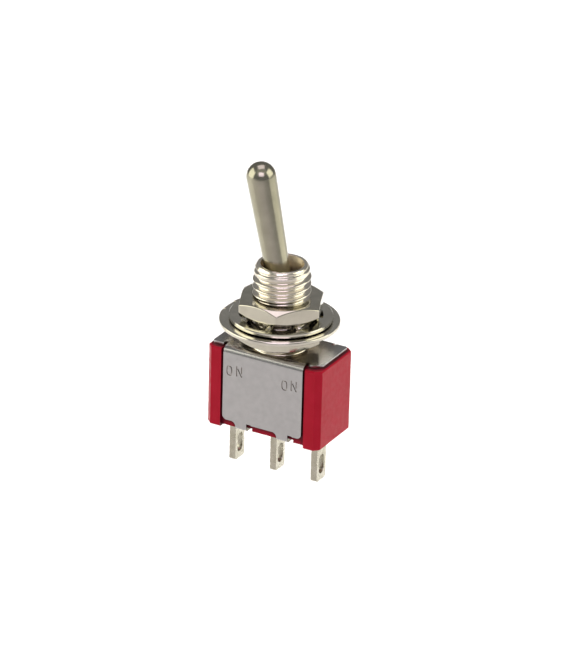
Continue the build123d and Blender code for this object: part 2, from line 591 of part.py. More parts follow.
SUB_PARTS = {
    "case": make_case(),
    "terminal_seal": make_terminal_seal(),
    "frame_bracket": make_frame_bracket(),
    "bushing": make_bushing(),
    "toggle_lever": make_toggle_lever(),
    "plunger": make_plunger(),
    "plunger_spring": make_plunger_spring(),
    "rocker_contact": make_rocker_contact(),
    "left_moving_contact": make_moving_contact(-1),
    "right_moving_contact": make_moving_contact(1),
    "common_terminal": make_common_terminal(),
    "left_terminal": make_end_terminal(-1),
    "right_terminal": make_end_terminal(1),
    "left_fixed_contact": make_fixed_contact(-1),
    "right_fixed_contact": make_fixed_contact(1),
    "backing_nut": make_nut(BACKING_NUT_START, BACKING_NUT_TURN),
    "locating_washer": make_locating_washer(),
    "lock_washer": make_lock_washer(),
    "panel_nut": make_nut(LOCK_TOP, NUT_TURN),
}

for name, shape in SUB_PARTS.items():
    export_step(shape, f"parts/{name}.step")
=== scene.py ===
"""Looks, camera and light for the miniature toggle switch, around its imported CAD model.

Lengths are in millimetres where nothing else is said, and MM turns them into metres.
"""

import math

import bmesh
import bpy
from mathutils import Matrix, Vector


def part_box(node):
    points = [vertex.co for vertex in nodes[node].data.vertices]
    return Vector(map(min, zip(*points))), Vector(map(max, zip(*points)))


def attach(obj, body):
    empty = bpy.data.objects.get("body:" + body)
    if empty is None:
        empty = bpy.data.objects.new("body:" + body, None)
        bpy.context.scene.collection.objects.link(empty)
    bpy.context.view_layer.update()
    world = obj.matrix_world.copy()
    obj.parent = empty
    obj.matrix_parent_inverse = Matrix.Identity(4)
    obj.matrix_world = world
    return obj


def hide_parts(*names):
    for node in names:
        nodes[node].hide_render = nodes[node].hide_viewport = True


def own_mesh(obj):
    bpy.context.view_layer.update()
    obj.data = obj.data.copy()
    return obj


MM = 0.001

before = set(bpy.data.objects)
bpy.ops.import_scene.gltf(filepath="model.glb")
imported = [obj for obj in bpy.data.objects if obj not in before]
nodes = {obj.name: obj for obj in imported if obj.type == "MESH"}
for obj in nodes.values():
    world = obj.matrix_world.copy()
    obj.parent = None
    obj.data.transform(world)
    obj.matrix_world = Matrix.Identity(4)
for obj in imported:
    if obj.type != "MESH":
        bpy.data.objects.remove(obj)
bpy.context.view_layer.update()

# The height of the lever's pivot, and its lean at rest
PIVOT = 5.55
SWING = math.radians(12.5)
# The radius of the bushing's mouth, and the band just outside it where the mouth's rougher, browner
# colour turns to the bright outside
MOUTH = 2.155
FINISH_EDGE = (0.02, 0.06)


# ---- materials ---------------------------------------------------------------------------
class Shader:
    """A Principled material with helpers for object-space detail, in millimetres."""

    def __init__(self, name, **sockets):
        self.material = bpy.data.materials.new(name)
        self.material.use_nodes = True
        self.tree = self.material.node_tree
        self.inputs = self.tree.nodes["Principled BSDF"].inputs
        for socket, value in sockets.items():
            self.inputs[socket.replace("_", " ")].default_value = value
        self.coordinates = self.new("ShaderNodeTexCoord").outputs["Object"]

    def new(self, kind, **values):
        node = self.tree.nodes.new(kind)
        for key, value in values.items():
            setattr(node, key, value)
        return node

    def link(self, a, b):
        self.tree.links.new(a, b)

    def noise(self, grain_mm, detail=3.0, stretch=(1, 1, 1), seed=0.0):
        """Noise with the given grain; stretch lengthens it along an axis, seed moves it."""
        mapping = self.new("ShaderNodeMapping")
        mapping.inputs["Scale"].default_value = [1.0 / (grain_mm * MM * s) for s in stretch]
        mapping.inputs["Location"].default_value = (seed, seed * 1.7, seed * 0.3)
        texture = self.new("ShaderNodeTexNoise")
        texture.inputs["Scale"].default_value = 1.0
        texture.inputs["Detail"].default_value = detail
        self.link(self.coordinates, mapping.inputs["Vector"])
        self.link(mapping.outputs["Vector"], texture.inputs["Vector"])
        return texture.outputs["Fac"]

    def remap(self, value, low, high, from_low=0.3, from_high=0.7):
        """Stretches a range of a value, by default the middle of the noise, to low and high."""
        node = self.new("ShaderNodeMapRange")
        node.inputs["From Min"].default_value = from_low
        node.inputs["From Max"].default_value = from_high
        node.inputs["To Min"].default_value = low
        node.inputs["To Max"].default_value = high
        self.link(value, node.inputs["Value"])
        return node.outputs["Result"]

    def mix(self, kind, factor, a, b):
        """Mixes a and b, each a colour or a socket; kind is RGBA or FLOAT."""
        node = self.new("ShaderNodeMix", data_type=kind)
        self.link(factor, node.inputs["Factor"])
        for side, value in (("A", a), ("B", b)):
            if isinstance(value, tuple):
                node.inputs[side].default_value = (*value, 1.0)
            else:
                self.link(value, node.inputs[side])
        return node.outputs["Result"]

    def vary_roughness(self, value, low, high):
        self.link(self.remap(value, low, high), self.inputs["Roughness"])

    def vary_colour(self, value, first, second):
        colour = self.mix("RGBA", self.remap(value, 0.0, 1.0), first, second)
        self.link(colour, self.inputs["Base Color"])

    def paint_shade(self, reach_mm, hollow, low, high):
        """Paints shade into the colour: darker in crevices and under overhangs, where shade falls.

        Where the openness is below low it takes the shade colour all over, and above high it keeps
        its own colour.
        """
        shade = self.new("ShaderNodeAmbientOcclusion")
        shade.samples = 8
        shade.inputs["Distance"].default_value = reach_mm * MM
        base = self.inputs["Base Color"]
        openness = self.remap(shade.outputs["AO"], 0.0, 1.0, low, high)
        self.link(self.mix("RGBA", openness, hollow, base.links[0].from_socket), base)

    def bump(self, value, depth_mm):
        """Adds relief of the given depth, on top of any relief added before."""
        node = self.new("ShaderNodeBump")
        node.inputs["Distance"].default_value = depth_mm * MM
        self.link(value, node.inputs["Height"])
        normal = self.inputs["Normal"]
        if normal.is_linked:
            self.link(normal.links[0].from_socket, node.inputs["Normal"])
        self.link(node.outputs["Normal"], normal)


def red_moulding():
    shader = Shader("red_moulding_mat", Specular_IOR_Level=0.15)
    shader.vary_colour(shader.noise(1.6, 4), (0.415, 0.005, 0.022), (0.455, 0.007, 0.028))
    # Painted shade: the red darkens in recesses and under overhangs, such as the strip under the
    # bracket's flap.
    shader.paint_shade(1.5, (0.11, 0.003, 0.012), 0.80, 0.975)
    shader.vary_roughness(shader.noise(0.5, 5, seed=3.0), 0.30, 0.46)
    shader.bump(shader.noise(0.12, 4, seed=7.0), 0.004)
    shader.bump(shader.noise(2.5, 2, seed=9.0), 0.02)
    return shader.material


def resin():
    shader = Shader("resin_mat", Roughness=0.18, IOR=1.54)
    shader.vary_colour(shader.noise(0.8, 4), (0.07, 0.010, 0.010), (0.14, 0.02, 0.018))
    shader.bump(shader.noise(1.1, 3, seed=2.0), 0.05)
    return shader.material


def bracket_steel():
    shader = Shader("frame_steel_mat", Metallic=1.0)
    shader.vary_colour(shader.noise(0.55, 5), (0.50, 0.505, 0.51), (0.555, 0.56, 0.565))
    shader.vary_roughness(shader.noise(0.25, 5, seed=4.0), 0.17, 0.24)
    # Painted shade: the steel turns dark brown in hollows and round the nuts and washers that stand
    # on it.
    shader.paint_shade(3.0, (0.22, 0.18, 0.13), 0.25, 0.80)
    shader.bump(shader.noise(0.22, 4, seed=5.0), 0.0016)
    shader.bump(shader.noise(0.05, 3, stretch=(14, 1, 1), seed=8.0), 0.0008)
    return shader.material


def nickel(name, colour, smoothest, roughest, reach_mm=0.5, hollow=0.10, unshaded=0.40):
    """Bright nickel that varies round one colour, with painted shade in its crevices; the last
    three arguments set that shade.
    """
    shader = Shader(name, Metallic=1.0)
    darker = tuple(c * 0.92 for c in colour)
    lighter = tuple(c * 1.05 for c in colour)
    shader.vary_colour(shader.noise(1.2, 4, seed=1.0), darker, lighter)
    shader.vary_roughness(shader.noise(0.35, 5, seed=6.0), smoothest, roughest)
    # Painted shade: darker and browner in crevices, such as the windows between the lock washer's
    # teeth.
    shader.paint_shade(reach_mm, (0.12, 0.08, 0.06), hollow, unshaded)
    shader.bump(shader.noise(0.22, 4, seed=11.0), 0.003)
    return shader.material


def bushing_nickel():
    """Bright nickel outside; rougher, darker and browner inside the mouth."""
    shader = Shader("bushing_nickel_mat", Metallic=1.0)
    flatten = shader.new("ShaderNodeVectorMath", operation="MULTIPLY")
    flatten.inputs[1].default_value = (1, 1, 0)
    length = shader.new("ShaderNodeVectorMath", operation="LENGTH")
    shader.link(shader.coordinates, flatten.inputs[0])
    shader.link(flatten.outputs[0], length.inputs[0])
    edge_start, edge_end = ((MOUTH + offset) * MM for offset in FINISH_EDGE)
    outside = shader.remap(length.outputs["Value"], 0.0, 1.0, edge_start, edge_end)
    hollow = shader.remap(shader.noise(0.3, 4, seed=2.0), 0.36, 0.52)
    bright = shader.remap(shader.noise(0.35, 5, seed=6.0), 0.13, 0.24)
    shader.link(shader.mix("FLOAT", outside, hollow, bright), shader.inputs["Roughness"])
    colour = shader.mix("RGBA", outside, (0.76, 0.66, 0.48), (0.83, 0.79, 0.69))
    shader.link(colour, shader.inputs["Base Color"])
    # Painted shade: darker and browner in the deepest crevices.
    shader.paint_shade(0.6, (0.22, 0.15, 0.11), 0.03, 0.30)
    shader.bump(shader.noise(0.22, 4, seed=11.0), 0.003)
    return shader.material


def lever_nickel():
    shader = Shader("lever_nickel_mat", Metallic=1.0)
    shader.vary_colour(shader.noise(1.5, 4, seed=1.0), (0.385, 0.375, 0.295), (0.445, 0.43, 0.34))
    shader.vary_roughness(shader.noise(0.4, 5, seed=2.0), 0.16, 0.24)
    shader.bump(shader.noise(0.3, 4, seed=3.0), 0.004)
    shader.bump(shader.noise(0.04, 3, stretch=(1, 1, 12), seed=5.0), 0.0008)
    return shader.material


def terminal_silver():
    shader = Shader("terminal_silver_mat", Metallic=1.0)
    shader.vary_colour(shader.noise(0.9, 5), (0.48, 0.465, 0.37), (0.59, 0.575, 0.49))
    shader.vary_roughness(shader.noise(0.35, 5, seed=2.0), 0.20, 0.38)
    shader.bump(shader.noise(0.5, 3, seed=4.0), 0.006)
    shader.bump(shader.noise(0.05, 3, stretch=(1, 1, 10), seed=9.0), 0.001)
    return shader.material


def plunger_plastic():
    shader = Shader("plunger_mat", Base_Color=(0.80, 0.78, 0.72, 1.0))
    shader.vary_roughness(shader.noise(0.3, 4), 0.38, 0.52)
    shader.bump(shader.noise(0.15, 4, seed=3.0), 0.003)
    return shader.material


def floor_paint(albedo):
    shader = Shader("floor_mat", Base_Color=(albedo, albedo, 0.99 * albedo, 1.0))
    shader.vary_roughness(shader.noise(6.0, 3), 0.65, 0.75)
    return shader.material


CONTACT = nickel("contact_mat", (0.80, 0.79, 0.76), 0.2, 0.35)
TERMINAL = terminal_silver()
NUT = nickel("nut_nickel_mat", (0.63, 0.61, 0.52), 0.07, 0.16, 0.35, 0.05, 0.30)
WASHER = nickel("washer_nickel_mat", (0.70, 0.68, 0.60), 0.09, 0.18, 0.7, 0.08, 0.34)
MATERIALS = {
    "case": red_moulding(),
    "terminal_seal": resin(),
    "frame_bracket": bracket_steel(),
    "bushing": bushing_nickel(),
    "toggle_lever": lever_nickel(),
    "plunger": plunger_plastic(),
    "plunger_spring": nickel("spring_mat", (0.5, 0.5, 0.5), 0.2, 0.35),
    "rocker_contact": CONTACT,
    "left_moving_contact": CONTACT,
    "right_moving_contact": CONTACT,
    "left_fixed_contact": CONTACT,
    "right_fixed_contact": CONTACT,
    "common_terminal": TERMINAL,
    "left_terminal": TERMINAL,
    "right_terminal": TERMINAL,
    "backing_nut": NUT,
    "locating_washer": WASHER,
    "lock_washer": WASHER,
    "panel_nut": NUT,
}


def paint(obj, material):
    """Gives the object one material, in the slots it has or in a new one."""
    if obj.material_slots:
        for slot in obj.material_slots:
            slot.material = material
    else:
        obj.data.materials.append(material)


for name, obj in nodes.items():
    paint(obj, MATERIALS[name])


# ---- edges -------------------------------------------------------------------------------
# Folds steeper than the angle, in degrees, are rounded in this many segments
EDGE_SEGMENTS, EDGE_ANGLE = 2, 28.0
CORNER_SEGMENTS, CORNER_ANGLE = 4, 58.5
# Before that, points nearer than the gap are joined, and folds below the flat angle dissolved
WELD_GAP = 0.001
FLAT_ANGLE = 1.0


def round_folds(obj, name, width_mm, segments, angle):
    bevel = obj.modifiers.new(name, "BEVEL")
    bevel.width = width_mm * MM
    bevel.segments = segments
    bevel.limit_method = "ANGLE"
    bevel.angle_limit = math.radians(angle)
    return bevel


def soften_edges(obj, width_mm, corner_mm=0.0):
    """Rounds the sharp edges of a piece with modifiers, and leaves its mesh alone.

    corner_mm rounds the steepest edges first: on a nut, its upright corners.
    """
    weld = obj.modifiers.new("weld", "WELD")
    weld.merge_threshold = WELD_GAP * MM
    flat = obj.modifiers.new("flat", "DECIMATE")
    flat.decimate_type = "DISSOLVE"
    flat.angle_limit = math.radians(FLAT_ANGLE)
    if corner_mm:
        round_folds(obj, "corners", corner_mm, CORNER_SEGMENTS, CORNER_ANGLE)
    edges = round_folds(obj, "bevel", width_mm, EDGE_SEGMENTS, EDGE_ANGLE)
    edges.harden_normals = True
    weighted = obj.modifiers.new("weighted", "WEIGHTED_NORMAL")
    weighted.weight = 100
    weighted.keep_sharp = True


def smooth(obj, angle):
    """Smooth shading, except across folds steeper than the angle in degrees."""
    obj.data.polygons.foreach_set("use_smooth", [True] * len(obj.data.polygons))
    obj.data.set_sharp_from_angle(angle=math.radians(angle))


# ---- making pieces -----------------------------------------------------------------------
# Points nearer than this, in metres, are one point
SAME_POINT = 1e-8


def closed_mesh(name, points, faces):
    """A mesh from points in millimetres, with doubled points merged and faces turned out."""
    mesh = bpy.data.meshes.new(name)
    mesh.from_pydata([Vector(p) * MM for p in points], [], faces)
    bm = bmesh.new()
    bm.from_mesh(mesh)
    bmesh.ops.remove_doubles(bm, verts=bm.verts, dist=SAME_POINT)
    bmesh.ops.dissolve_degenerate(bm, edges=bm.edges, dist=SAME_POINT)
    bmesh.ops.recalc_face_normals(bm, faces=bm.faces)
    bm.to_mesh(mesh)
    bm.free()
    return mesh


def linked_object(name, data):
    """An object in the scene, made from a mesh, a light or a camera."""
    obj = bpy.data.objects.new(name, data)
    bpy.context.scene.collection.objects.link(obj)
    return obj


def cutter_object(bm):
    """An object made from a bmesh, for carved(); the bmesh is used up."""
    mesh = bpy.data.meshes.new("cutter")
    bm.to_mesh(mesh)
    bm.free()
    return linked_object("cutter", mesh)


def carved(mesh, cutters):
    """A copy of the mesh with closed cutter objects taken out of it; the cutters are used up."""
    work = linked_object("work", mesh)
    for cutter in cutters:
        cut = work.modifiers.new("cut", "BOOLEAN")
        cut.operation = "DIFFERENCE"
        cut.solver = "EXACT"
        cut.object = cutter
    graph = bpy.context.evaluated_depsgraph_get()
    result = bpy.data.meshes.new_from_object(work.evaluated_get(graph), depsgraph=graph)
    for obj in [work] + cutters:
        bpy.data.objects.remove(obj, do_unlink=True)
    return result


def add_piece(name, mesh, body, node):
    """Adds a piece that rides on a CAD body and stands for one CAD node, in its material."""
    obj = linked_object(name, mesh)
    obj.data.materials.clear()
    paint(obj, MATERIALS[node])
    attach(obj, body)
    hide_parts(node)
    return obj


# ---- the bushing -------------------------------------------------------------------------
bushing_low, bushing_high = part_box("bushing")
BUSHING_TOP = bushing_high.z / MM
BUSHING_FOOT = bushing_low.z / MM
FLANGE_RADIUS = bushing_high.x / MM
FLANGE_HALF_WIDTH = 2.6
# The crests lie this far inside the CAD's plain cylinder
CREST_INSET = 0.03
CREST = bushing_high.y / MM - CREST_INSET
# The threaded cylinder stands on the flange, stays plain up to z = 0 and reaches its full depth
# at the end of the run-in above that; the phase turns the helix, as a share of a turn
THREAD_START = -0.35
THREAD_RUN_IN = 0.4
THREAD_DEPTH = 0.38
THREAD_PITCH = 0.75
THREAD_PHASE = 0.30
# Half a pitch of the rounded thread: phase, share of the depth above the root
HALF_THREAD = [(0.0, 1.0), (0.06, 0.97), (0.12, 0.86), (0.19, 0.66), (0.27, 0.40),
               (0.35, 0.16), (0.42, 0.04), (0.5, 0.0)]
THREAD = HALF_THREAD + [(1.0 - phase, share) for phase, share in HALF_THREAD[-2:0:-1]]
# The lead-in at the thread's top end: depth below the rim, largest radius there
LEAD_IN = [(0.0, 2.47), (0.06, 2.53), (0.38, 2.73), (1.0, 2.80), (1.35, 2.95)]
# The keyway: its floor takes this share of its width and its walls stand in the rest, and no
# even column stands nearer to its edge than the clear angle, in radians
KEY_HALF = 0.45
KEY_FLOOR = 2.53
KEY_START = 0.45
KEY_FLOOR_SHARE = 0.98
KEY_CLEAR_ANGLE = 0.02
COLUMNS = 168
# The bore: an eased edge at the mouth, the throat, the ball's seat, in steps of an angle in
# radians, and the slot below it, which leaves room for the leaning stem
MOUTH_EASE = 0.05
MOUTH_DROP = 0.04
THROAT = 1.62
SEAT = 1.94
SEAT_STEPS = 5
SEAT_STEP_ANGLE = 0.1
SLOT_HALF = 1.18
SLOT_TOP = 2.47
SLOT_STEM_ROOM = 1.26
# The two pockets in the seat that the ball's pips turn in, cut from inside the ball's room
PIP_POCKET_RADIUS = 0.39
PIP_POCKET_REACH = 2.26
PIP_POCKET_LAP = 0.3
PIP_POCKET_START = SEAT - PIP_POCKET_LAP
# Keeps a division by a sine or cosine away from zero
TINY = 1e-6


def interpolate(table, x):
    """Straight-line value of a rising table of (x, y), held at its last value."""
    for (x0, y0), (x1, y1) in zip(table, table[1:]):
        if x <= x1:
            return y0 + (y1 - y0) * (x - x0) / (x1 - x0)
    return table[-1][1]


def thread_radius(share, z):
    """Thread radius at a height: full below the bracket, and limited by the lead-in."""
    if z <= 0.0:
        return CREST
    root = CREST - THREAD_DEPTH * min(1.0, z / THREAD_RUN_IN)
    return min(root + (CREST - root) * share, interpolate(LEAD_IN, BUSHING_TOP - z))


def flange_radius(a):
    """The flange at an angle: a disc with two flats."""
    return min(FLANGE_RADIUS, FLANGE_HALF_WIDTH / max(abs(math.sin(a)), TINY))


def slot_radius(z):
    """The slot that the leaning stem swings in: at a height, its radius by angle."""
    reach = (PIVOT - z) * math.tan(SWING) + SLOT_STEM_ROOM

    def radius(a):
        return min(reach / max(abs(math.cos(a)), TINY), SLOT_HALF / max(abs(math.sin(a)), TINY))

    return radius


def bushing_angles():
    """Column angles, even all round but with both edges of the keyway doubled.

    Also returns the angle that parts the keyway's floor from what stands beside it.
    """
    half = math.asin(KEY_HALF / CREST)
    even = [2 * math.pi * j / COLUMNS for j in range(COLUMNS)]
    plain = [a for a in even if abs(abs(a - math.pi) - half) > KEY_CLEAR_ANGLE]
    edges = [math.pi + side * half * share for side in (-1, 1) for share in (KEY_FLOOR_SHARE, 1.0)]
    return sorted(plain + edges), half * (KEY_FLOOR_SHARE + 1.0) / 2


def thread_surface(angles, key_angle):
    """Points and faces of the thread, from the flange to the rim, with the keyway cut in it."""
    turns = int((BUSHING_TOP - THREAD_START) / THREAD_PITCH)
    # two spare turns at each end, which the limits of z press flat
    rows = [(k + phase, share) for k in range(-2, turns + 3) for phase, share in THREAD]
    points, faces = [], []
    for turn, share in rows:
        for a in angles:
            z = THREAD_START + (turn + THREAD_PHASE + a / (2 * math.pi)) * THREAD_PITCH
            z = min(max(z, THREAD_START), BUSHING_TOP)
            r = thread_radius(share, z)
            if abs(a - math.pi) < key_angle and z > KEY_START:
                r = min(r, KEY_FLOOR / abs(math.cos(a)))
            points.append((r * math.cos(a), r * math.sin(a), z))
    n, last = len(angles), len(rows) - 1
    for i in range(last):
        for j in range(n - 1):
            faces.append((i * n + j, i * n + j + 1, (i + 1) * n + j + 1, (i + 1) * n + j))
        # the helix joins the row that lies one pitch further on
        k = min(i + len(THREAD), last)
        m = min(i + 1 + len(THREAD), last)
        faces.append(((i + 1) * n - 1, k * n, m * n, (i + 2) * n - 1))
    return points, faces


def bore_and_flange():
    """Rings from the rim down the bore and round the flange: radius, by angle or not, and z."""
    rings = [(LEAD_IN[0][1], BUSHING_TOP), (MOUTH + MOUTH_EASE, BUSHING_TOP),
             (MOUTH, BUSHING_TOP - MOUTH_DROP),
             (THROAT, PIVOT + math.sqrt(SEAT ** 2 - THROAT ** 2))]
    for k in range(SEAT_STEPS, -1, -1):
        v = k * SEAT_STEP_ANGLE
        rings.append((SEAT * math.cos(v), PIVOT + SEAT * math.sin(v)))
    return rings + [(SEAT, SLOT_TOP), (slot_radius(SLOT_TOP), SLOT_TOP),
                    (slot_radius(BUSHING_FOOT), BUSHING_FOOT), (flange_radius, BUSHING_FOOT),
                    (flange_radius, THREAD_START), (CREST, THREAD_START)]


def pip_pocket(side):
    """Cutter for the pocket on one side of the seat."""
    middle = side * (PIP_POCKET_START + PIP_POCKET_REACH) / 2
    place = Matrix.Translation((0, middle * MM, PIVOT * MM))
    bm = bmesh.new()
    bmesh.ops.create_cone(bm, cap_ends=True, segments=32, radius1=PIP_POCKET_RADIUS * MM,
                          radius2=PIP_POCKET_RADIUS * MM,
                          depth=(PIP_POCKET_REACH - PIP_POCKET_START) * MM,
                          matrix=place @ Matrix.Rotation(math.pi / 2, 4, "X"))
    return cutter_object(bm)


def threaded_bushing():
    """The bushing with its real thread, lead-in, keyway, bore and pip pockets."""
    angles, key_angle = bushing_angles()
    points, faces = thread_surface(angles, key_angle)
    n = len(angles)
    first = len(points) // n
    rings = bore_and_flange()
    for radius, z in rings:
        for a in angles:
            r = radius(a) if callable(radius) else radius
            points.append((r * math.cos(a), r * math.sin(a), z))
    for i in range(first, first + len(rings) - 1):
        for j in range(n):
            k = (j + 1) % n
            faces.append((i * n + k, i * n + j, (i + 1) * n + j, (i + 1) * n + k))
    mesh = carved(closed_mesh("threaded_bushing", points, faces),
                  [pip_pocket(side) for side in (-1, 1)])
    smooth(add_piece("threaded_bushing", mesh, "housing", "bushing"), 50)


threaded_bushing()

# ---- the lock washer ---------------------------------------------------------------------
# A flat ring low in its stack, with twisted inner teeth that fill the stack's height
washer_low, washer_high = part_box("lock_washer")
STACK_MIDDLE = (washer_low.z + washer_high.z) / 2 / MM
RING_OUTER = washer_high.x / MM
RING_INNER = 4.2
RING_THICKNESS = 0.4
RING_LIFT = 0.11
RING_BASE = washer_low.z / MM + RING_LIFT
RING_TOP = RING_BASE + RING_THICKNESS
RING_EASE = 0.07
TEETH = 8
TOOTH_STEP = 2 * math.pi / TEETH
FIRST_TOOTH = math.radians(7.0)
TOOTH_HALF = 0.5
# The rows of a tooth from its root to its tip, closer together where it flares and twists
TOOTH_RADII = [RING_INNER, 4.12, 4.02, 3.9, 3.75, 3.5, 3.17]
TWIST = math.radians(33.0)
# A tooth has turned its full twist this far in from the ring
TWIST_LENGTH = 0.45
ROOT_FILLET = 0.3
ROOT_HALF = TOOTH_HALF + ROOT_FILLET
WINDOW_COLUMNS = 9
# Places across a tooth, from one side to the other
ACROSS = [-1.0, -0.5, 0.0, 0.5, 1.0]


def tooth_point(angle, radius, across, side):
    """A point on a tooth: side is 1 on top and -1 below; across is one of the places."""
    root = max(0.0, radius - (RING_INNER - ROOT_FILLET))
    flare = ROOT_FILLET - math.sqrt(max(0.0, ROOT_FILLET ** 2 - root ** 2))
    offset = across * (TOOTH_HALF + flare)
    share = min(1.0, (RING_INNER - radius) / TWIST_LENGTH)
    twist = TWIST * share * share * (3 - 2 * share)
    ring_middle = (RING_BASE + RING_TOP) / 2
    middle = ring_middle + (STACK_MIDDLE - ring_middle) * share
    half = side * RING_THICKNESS / 2
    x = math.sqrt(max(radius * radius - offset * offset, 0.0))
    y = offset * math.cos(twist) - half * math.sin(twist)
    z = middle + offset * math.sin(twist) + half * math.cos(twist)
    return (x * math.cos(angle) - y * math.sin(angle), x * math.sin(angle) + y * math.cos(angle), z)


def washer_columns():
    """Columns round the ring: angle, and the place across a tooth or None in a window."""
    widest = math.asin(ROOT_HALF / RING_INNER)
    window = TOOTH_STEP - 2 * widest
    columns = []
    for tooth in range(TEETH):
        middle = FIRST_TOOTH + tooth * TOOTH_STEP
        for across in ACROSS:
            columns.append((middle + math.asin(across * ROOT_HALF / RING_INNER), across))
        for k in range(1, WINDOW_COLUMNS):
            columns.append((middle + widest + window * k / WINDOW_COLUMNS, None))
    return columns


def toothed_washer():
    """The ring and its teeth as one closed surface."""
    points, faces = [], []

    def add(new):
        """Adds points and returns their numbers."""
        points.extend(new)
        return list(range(len(points) - len(new), len(points)))

    section = [(RING_INNER, RING_BASE), (RING_OUTER - RING_EASE, RING_BASE),
               (RING_OUTER, RING_BASE + RING_EASE), (RING_OUTER, RING_TOP - RING_EASE),
               (RING_OUTER - RING_EASE, RING_TOP), (RING_INNER, RING_TOP)]
    columns = washer_columns()
    rings = [add([(r * math.cos(a), r * math.sin(a), z) for r, z in section]) for a, _ in columns]
    for i, (_, across) in enumerate(columns):
        here, following = rings[i], rings[(i + 1) % len(rings)]
        for k in range(len(section) - 1):
            faces.append((here[k], following[k], following[k + 1], here[k + 1]))
        # the inner wall is open only where a tooth grows from it
        if across is None or across == ACROSS[-1]:
            faces.append((here[-1], following[-1], following[0], here[0]))

    def quads(row, next_row):
        for k in range(len(row) - 1):
            faces.append((row[k], row[k + 1], next_row[k + 1], next_row[k]))

    for tooth in range(TEETH):
        angle = FIRST_TOOTH + tooth * TOOTH_STEP
        first = tooth * len(columns) // TEETH
        roots = rings[first:first + len(ACROSS)]
        upper = [[ring[-1] for ring in roots]]
        lower = [[ring[0] for ring in roots]]
        for radius in TOOTH_RADII[1:]:
            upper.append(add([tooth_point(angle, radius, across, 1) for across in ACROSS]))
            lower.append(add([tooth_point(angle, radius, across, -1) for across in ACROSS]))
        for m in range(len(TOOTH_RADII) - 1):
            quads(upper[m], upper[m + 1])
            quads(lower[m], lower[m + 1])
            for k in (0, -1):
                faces.append((upper[m][k], lower[m][k], lower[m + 1][k], upper[m + 1][k]))
        quads(upper[-1], lower[-1])
    mesh = closed_mesh("toothed_washer", points, faces)
    smooth(add_piece("toothed_washer", mesh, "housing", "lock_washer"), 32)


toothed_washer()


def coil_spring():
    """The spring in its seat in the stem, as its own piece that rides on the lever."""
    mesh = nodes["plunger_spring"].data.copy()
    obj = add_piece("coil_spring", mesh, "lever", "plunger_spring")
    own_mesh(obj)


coil_spring()

# ---- the bracket's marks -----------------------------------------------------------------
# The generic ON marks on the front flap: each letter, and its middle in x and z
MARKS = [("O", -3.77, -2.55), ("N", -2.65, -2.42), ("O", 2.51, -2.59), ("N", 3.56, -2.43)]
MARK_DEPTH = 0.07
LETTER_HALF_WIDTH = 0.34
LETTER_HALF_HEIGHT = 0.55
STROKE = 0.13
# The slanting stroke of an N meets an upright this far from the upright's end
SLANT_END = 2.5 * STROKE
LOOP_POINTS = 28
# 1 would make the loops of an O ellipses, and 0 rectangles
LOOP_ROUNDNESS = 0.7
# In the bracket's mesh, points nearer than this, in metres, are joined, and folds below this
# angle, in radians, are flat
BRACKET_POINT_GAP = 1e-7
BRACKET_FLAT_FOLD = 0.002


def letter_o(half_width, half_height):
    """A loop of an O, between an ellipse and a rectangle."""
    points = []
    for i in range(LOOP_POINTS):
        a = 2 * math.pi * i / LOOP_POINTS
        c, s = math.cos(a), math.sin(a)
        points.append((half_width * math.copysign(abs(c) ** LOOP_ROUNDNESS, c),
                       half_height * math.copysign(abs(s) ** LOOP_ROUNDNESS, s)))
    return points


def letter_n(half_width, half_height):
    """The outline of an N, from its lower left corner round to its upper left one."""
    left, right = -half_width, half_width
    foot, head = -half_height, half_height
    return [(left, foot), (left + STROKE, foot), (left + STROKE, head - SLANT_END),
            (right - STROKE, foot), (right, foot), (right, head), (right - STROKE, head),
            (right - STROKE, foot + SLANT_END), (left + STROKE, head), (left, head)]


def letter_cutter(letter, x, z, face_y):
    """Closed prism of one letter that reaches the marks' depth below the flap's face."""
    bm = bmesh.new()

    def loop(points):
        """A closed outline as two loops of points, below the face and above it."""
        return [[bm.verts.new(((x + px) * MM, (face_y + dy) * MM, (z + pz) * MM))
                 for px, pz in points] for dy in (-MARK_DEPTH, MARK_DEPTH)]

    def band(one, other):
        for i in range(len(one)):
            j = (i + 1) % len(one)
            bm.faces.new((one[i], one[j], other[j], other[i]))

    if letter == "O":
        outer = loop(letter_o(LETTER_HALF_WIDTH, LETTER_HALF_HEIGHT))
        inner = loop(letter_o(LETTER_HALF_WIDTH - STROKE, LETTER_HALF_HEIGHT - STROKE))
        band(inner[1], inner[0])
        band(inner[0], outer[0])
        band(outer[1], inner[1])
    else:
        outer = loop(letter_n(LETTER_HALF_WIDTH, LETTER_HALF_HEIGHT))
        bm.faces.new(list(reversed(outer[0])))
        bm.faces.new(outer[1])
    band(outer[0], outer[1])
    bmesh.ops.recalc_face_normals(bm, faces=bm.faces)
    return cutter_object(bm)


def engraved_bracket():
    """The bracket with the marks pressed into its front flap."""
    mesh = nodes["frame_bracket"].data.copy()
    bm = bmesh.new()
    bm.from_mesh(mesh)
    bmesh.ops.remove_doubles(bm, verts=bm.verts, dist=BRACKET_POINT_GAP)
    bmesh.ops.dissolve_limit(bm, angle_limit=BRACKET_FLAT_FOLD, verts=bm.verts, edges=bm.edges)
    bmesh.ops.triangulate(bm, faces=[f for f in bm.faces if len(f.verts) > 4])
    bm.to_mesh(mesh)
    bm.free()
    face_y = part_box("frame_bracket")[0].y / MM
    mesh = carved(mesh, [letter_cutter(*mark, face_y) for mark in MARKS])
    obj = add_piece("engraved_bracket", mesh, "housing", "frame_bracket")
    smooth(obj, 35)
    soften_edges(obj, 0.03)


engraved_bracket()

for name in ("case", "backing_nut", "locating_washer",
             "left_terminal", "right_terminal", "common_terminal"):
    soften_edges(nodes[name], 0.05)
soften_edges(nodes["panel_nut"], 0.05, corner_mm=0.2)

# ---- the floor ---------------------------------------------------------------------------
FLOOR_Z = -44.0
FLOOR_HALF = 3000.0
FLOOR_ALBEDO = 0.86


